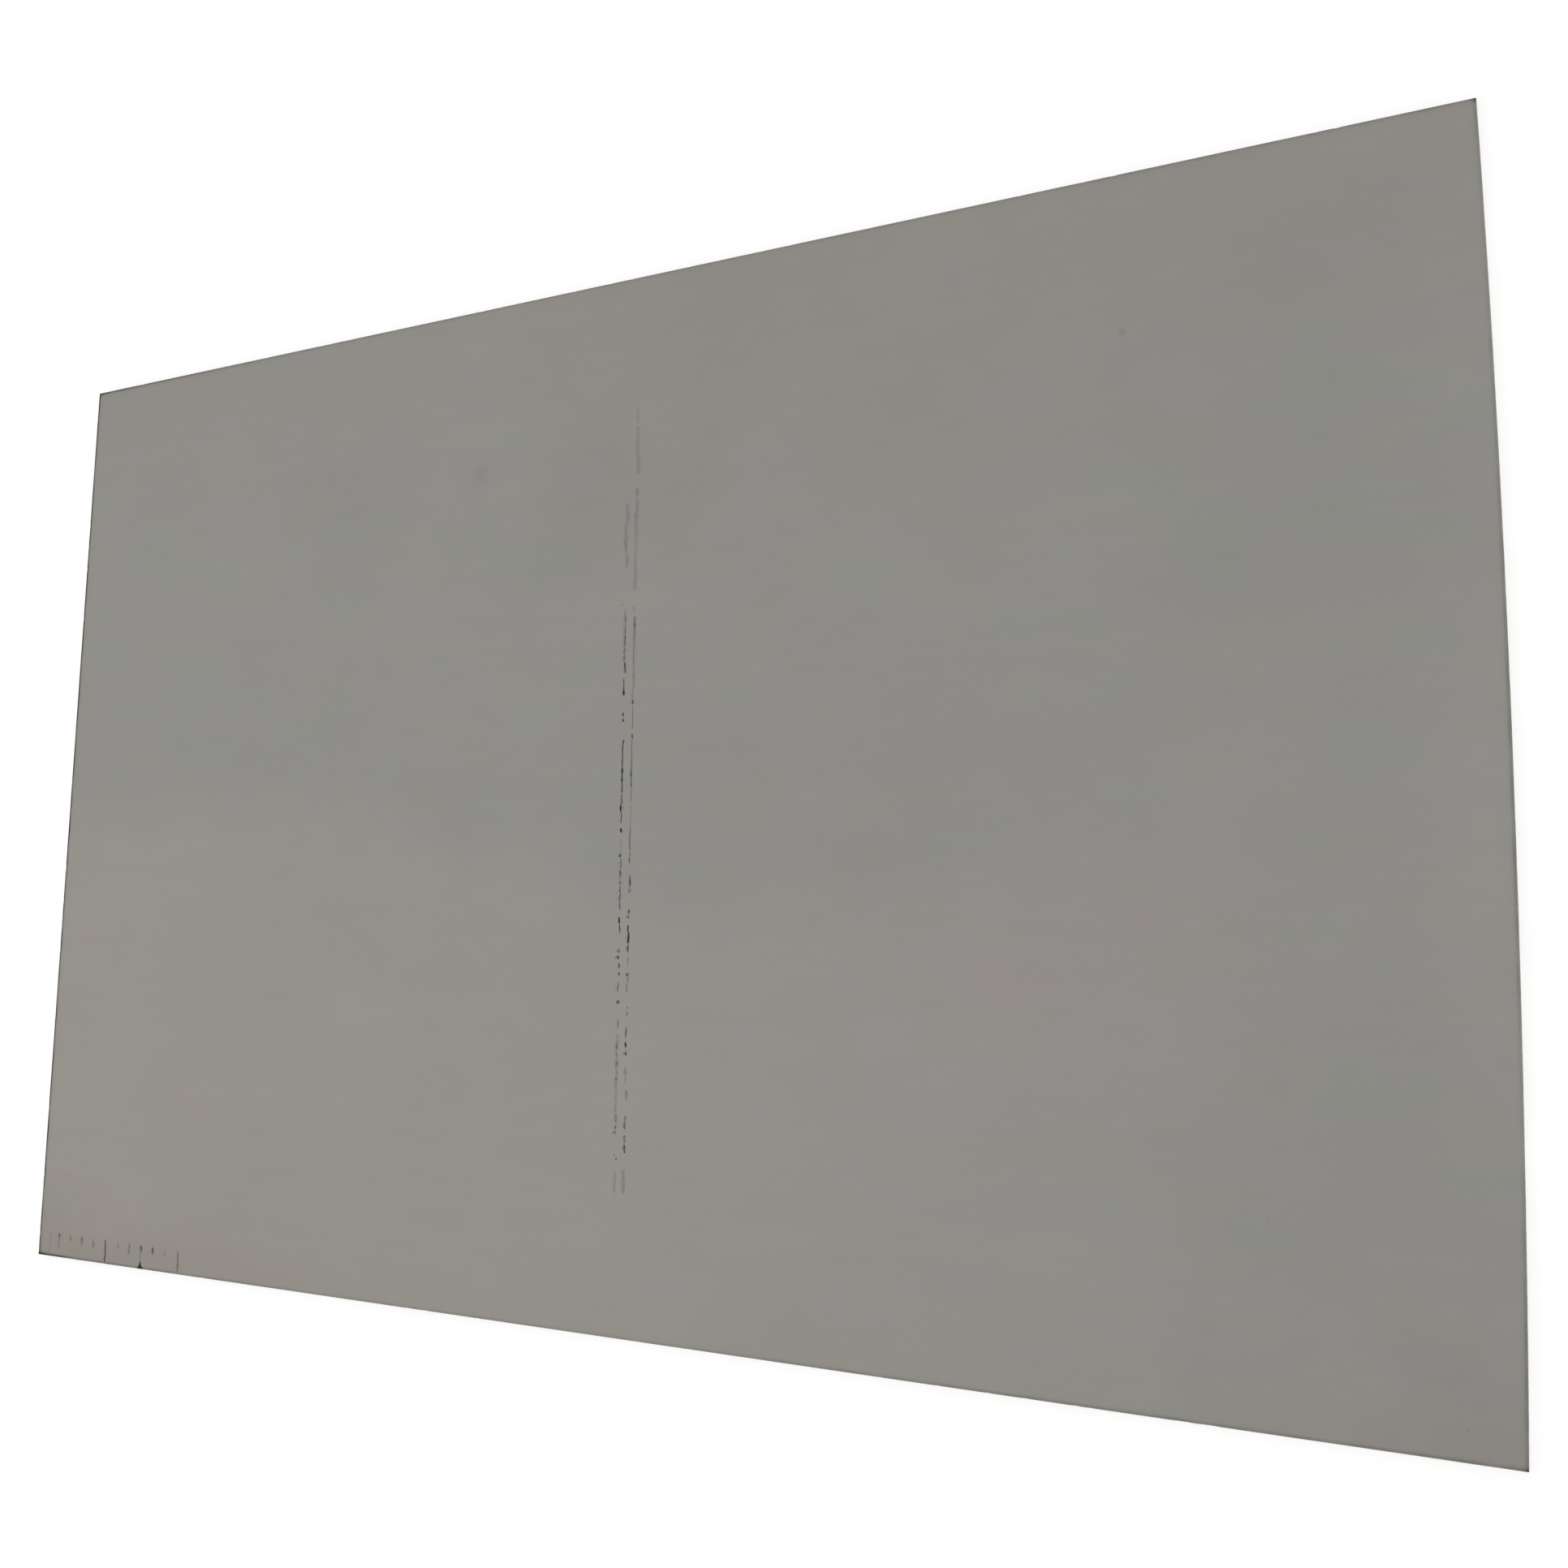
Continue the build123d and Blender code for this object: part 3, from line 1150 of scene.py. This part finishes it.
# %% Styles of ink along a row
# Each style is the range of lengths, of gaps and of widths, how far a dash may slant in degrees, how
# far it may stray from the row, its core, and how often it swells into a bead; lengths in millimetres.
STYLES = {
    "line": ((40.0, 60.0), (0.4, 1.0), (1.25, 1.45), 0.2, 0.05, 0.65, 0.06),
    "hairline": ((40.0, 60.0), (0.4, 1.0), (0.8, 0.95), 0.2, 0.03, 0.5, 0.05),
    "dashes": ((3.5, 9.0), (0.2, 1.5), (1.05, 1.6), 8.0, 0.32, 0.5, 0.2),
    "dots": ((1.8, 3.6), (1.6, 3.6), (1.5, 2.1), 15.0, 0.4, 0.55, 0.0),
    "blurs": ((4.0, 9.0), (0.3, 2.2), (1.6, 2.4), 6.0, 0.4, 0.25, 0.2),
    "flecks": ((0.9, 2.6), (0.2, 1.2), (0.8, 1.5), 35.0, 0.9, 0.4, 0.0),
    "haze": ((9.0, 16.0), (-3.0, -1.0), (3.2, 4.4), 0.5, 0.2, 0.3, 0.0),
}
BROKEN = ("dashes", "dots", "blurs")
print("styles of ink:", ", ".join(STYLES))

# %% A row from its stretches
LEAST_ROOM, SHORTEST = 4.0, 1.2
LEAST_HELD, MOST_HELD = 0.65, 1.25
# A broken stretch has a faint line under it, and some of its dashes have a fainter mark beside them.
LINK_TONE, LINK_WIDTH = 0.05, 1.4 * MM
SIDE_MARK_SHARE, SIDE_MARK_TONE = 0.4, 0.4
SIDE_MARK_NEAR, SIDE_MARK_FAR, SIDE_MARK_SLANT = 1.0, 2.2, 45
SIDE_MARK_LENGTH, SIDE_MARK_WIDTH = 2.2 * MM, 1.1 * MM


def add_side_mark(ink, x, y, heading, tone, core):
    """Add a short faint mark at a slant, to one side of a place in millimetres."""
    beside = (x + ink.rng.choice((-1, 1)) * ink.rng.uniform(SIDE_MARK_NEAR, SIDE_MARK_FAR)) * MM
    leaning = heading + math.radians(ink.rng.uniform(-SIDE_MARK_SLANT, SIDE_MARK_SLANT))
    add_dash(ink, beside, y * MM, SIDE_MARK_LENGTH, SIDE_MARK_WIDTH, leaning, tone, core, layer=MIDDLE)


def ink_row(name, seed, foot, head, stretches):
    """One row of ink from foot to head, both (x, y) in millimetres, made of stretches along y."""
    ink = Ink(name, seed)
    rng = ink.rng
    slope = (head[0] - foot[0]) / (head[1] - foot[1])
    heading = math.atan2(1.0, slope)

    def row_x(y):
        return middle_x / MM + foot[0] + slope * (y - foot[1])

    for start, end, style, tone in stretches:
        lengths, gaps, widths, slant, stray, core, beads = STYLES[style]
        layer = UNDER if style == "haze" else OVER
        if style in BROKEN:
            middle, whole = (start + end) / 2, (end - start) * MM
            x = row_x(middle)
            add_dash(ink, x * MM, middle * MM, whole, LINK_WIDTH, heading, LINK_TONE, core, layer=UNDER)
        y = start
        while end - y > min(lengths[0] / 2, LEAST_ROOM):
            length = max(min(rng.uniform(*lengths), end - y), SHORTEST)
            middle = y + length / 2
            x = row_x(middle) + rng.gauss(0, stray)
            turned = heading + math.radians(rng.uniform(-slant, slant))
            held = tone * rng.uniform(LEAST_HELD, MOST_HELD)
            width = rng.uniform(*widths) * MM
            add_dash(ink, x * MM, middle * MM, length * MM, width, turned, held, core, 1.0, beads, layer)
            if style in BROKEN and rng.random() < SIDE_MARK_SHARE:
                add_side_mark(ink, x, middle, heading, held * SIDE_MARK_TONE, core)
            y += length + rng.uniform(*gaps)
    return ink


print("a dash is at least", SHORTEST, "mm long")

# %% The right-hand row
RIGHT_ROW = (
    (-298, -281, "haze", 0.10),
    (-297, -290, "flecks", 0.35),
    (-286, -282, "flecks", 0.3),
    (-269, -255, "blurs", 0.5),
    (-252, -243, "blurs", 0.42),
    (-231, -223, "blurs", 0.36),
    (-219, -206, "blurs", 0.11),
    (-199, -188, "dots", 0.85),
    (-187, -178, "dashes", 0.42),
    (-170, -164, "dots", 0.32),
    (-153, -139, "dashes", 0.48),
    (-134, -127, "hairline", 0.45),
    (-124, -104, "dashes", 0.82),
    (-99, -91, "dots", 0.9),
    (-80, -66, "dashes", 0.5),
    (-58, -50, "dashes", 0.48),
    (-49, -32, "line", 0.34),
    (-32, -14, "hairline", 0.3),
    (-12, -2, "hairline", 0.38),
    (-1, 20, "line", 0.42),
    (20.5, 36, "line", 0.36),
    (36, 39, "dots", 0.6),
    (43, 60, "hairline", 0.36),
    (62, 66, "dots", 0.55),
    (66.5, 92, "hairline", 0.18),
    (92.5, 111, "line", 0.3),
    (111.5, 130, "line", 0.36),
    (133, 137, "flecks", 0.3),
    (60, 130, "haze", 0.035),
    (150, 222, "haze", 0.085),
    (156, 172, "blurs", 0.09),
    (172, 200, "blurs", 0.05),
    (223, 230, "haze", 0.13),
    (241, 279, "haze", 0.085),
    (243, 278, "line", 0.07),
    (282, 295, "haze", 0.07),
)
right_ink = ink_row("ink_row_right", 21, (13.0, -295.0), (7.2, 295.0), RIGHT_ROW)
ink_piece(right_ink, dry_ink)
print("strokes in the right-hand row:", right_ink.count)

# %% The left-hand row
LEFT_ROW = (
    (-298, -283, "haze", 0.08),
    (-297, -284, "flecks", 0.15),
    (-275, -270, "flecks", 0.5),
    (-256, -250, "dots", 0.6),
    (-248, -184, "blurs", 0.2),
    (-256, -184, "haze", 0.03),
    (-180, -172, "dashes", 0.5),
    (-162, -157, "dots", 0.95),
    (-153, -146, "dashes", 0.62),
    (-141, -131, "dots", 0.85),
    (-129, -120, "dots", 0.95),
    (-110, -98, "dashes", 0.8),
    (-93, -71, "dashes", 0.58),
    (-70, -51, "dashes", 0.4),
    (-51, -40, "hairline", 0.14),
    (-35, -31, "dots", 0.95),
    (-28, -6, "dashes", 0.62),
    (-5, 32, "line", 0.82),
    (31.5, 36, "dots", 0.95),
    (49, 56, "dots", 0.85),
    (69, 82, "dashes", 0.6),
    (86, 106, "dashes", 0.45),
    (107, 132, "dashes", 0.42),
    (106, 134, "haze", 0.09),
    (134, 140, "flecks", 0.25),
    (168, 180, "haze", 0.08),
    (170, 176, "flecks", 0.2),
    (181, 219, "haze", 0.12),
)
left_ink = ink_row("ink_row_left", 22, (5.4, -295.6), (-0.6, 218.0), LEFT_ROW)
ink_piece(left_ink, dry_ink)
print("strokes in the left-hand row:", left_ink.count)

# %% [markdown]
# Strokes at the lower left edge
#
# More ink stands on the edge itself: short upright strokes about fourteen millimetres apart, like the
# ticks of a worn ruler, a few of them long enough to run to the edge, and one blot where ink ran over it.
# They are soft right across, so their core is narrow, and the dark ones have a faint halo.

# %% Edge strokes and the blot
# Each stroke is its x, its upper and lower y, its width, and its ink at the top and at the bottom;
# lengths in millimetres from the middle of the rectangle.
EDGE_STROKES = (
    (-585.6, -379.5, -397.0, 2.2, 0.07, 0.07),
    (-574.0, -379.5, -382.8, 3.4, 0.55, 0.4),
    (-574.0, -381.0, -394.0, 2.2, 0.26, 0.14),
    (-559.6, -380.0, -384.8, 4.0, 0.27, 0.14),
    (-545.2, -380.0, -384.6, 3.6, 0.46, 0.32),
    (-545.2, -383.0, -388.0, 2.4, 0.24, 0.1),
    (-530.8, -381.0, -387.6, 4.0, 0.12, 0.24),
    (-515.7, -379.6, -399.0, 1.9, 0.85, 0.8),
    (-500.0, -381.0, -385.8, 4.0, 0.15, 0.13),
    (-486.2, -380.6, -389.0, 2.5, 0.45, 0.26),
    (-472.0, -380.6, -385.6, 3.6, 0.62, 0.46),
    (-472.0, -384.0, -393.0, 2.6, 0.17, 0.1),
    (-457.8, -380.8, -386.4, 3.0, 0.9, 0.6),
    (-443.4, -381.4, -386.4, 3.8, 0.07, 0.06),
    (-427.9, -381.4, -399.0, 2.5, 0.36, 0.38),
)
STROKE_CORE = 0.22
UPRIGHT = math.radians(-88.8)
HALO_FROM, HALO_WIDTH, HALO_TONE, HALO_CORE = 0.3, 2.2, 0.06, 0.2
# The blot's rows are its y and its width, in millimetres.
BLOT = ((-393.2, 0.9), (-394.8, 1.6), (-396.2, 2.5), (-397.4, 3.9), (-398.4, 5.8), (-399.3, 8.0))
BLOT_TONE, BLOT_CORE = 0.98, 0.85

edge_ink = Ink("edge_strokes", 23)
for x, upper, lower, width, at_top, at_foot in EDGE_STROKES:
    run = (middle_x + x * MM, (upper + lower) / 2 * MM, (upper - lower) * MM)
    fade = at_foot / at_top
    add_dash(edge_ink, *run, width * MM, UPRIGHT, at_top, STROKE_CORE, fade)
    if at_top > HALO_FROM:
        halo_width, halo_tone = width * HALO_WIDTH * MM, at_top * HALO_TONE
        add_dash(edge_ink, *run, halo_width, UPRIGHT, halo_tone, HALO_CORE, layer=UNDER)
blot_path = [Vector((middle_x + BLOT_X, y * MM)) for y, _ in BLOT]
blot_widths = [width * MM for _, width in BLOT]
add_stroke(edge_ink, blot_path, blot_widths, [BLOT_TONE] * len(BLOT), BLOT_CORE)
ink_piece(edge_ink, dry_ink)
print("strokes at the edge:", edge_ink.count)
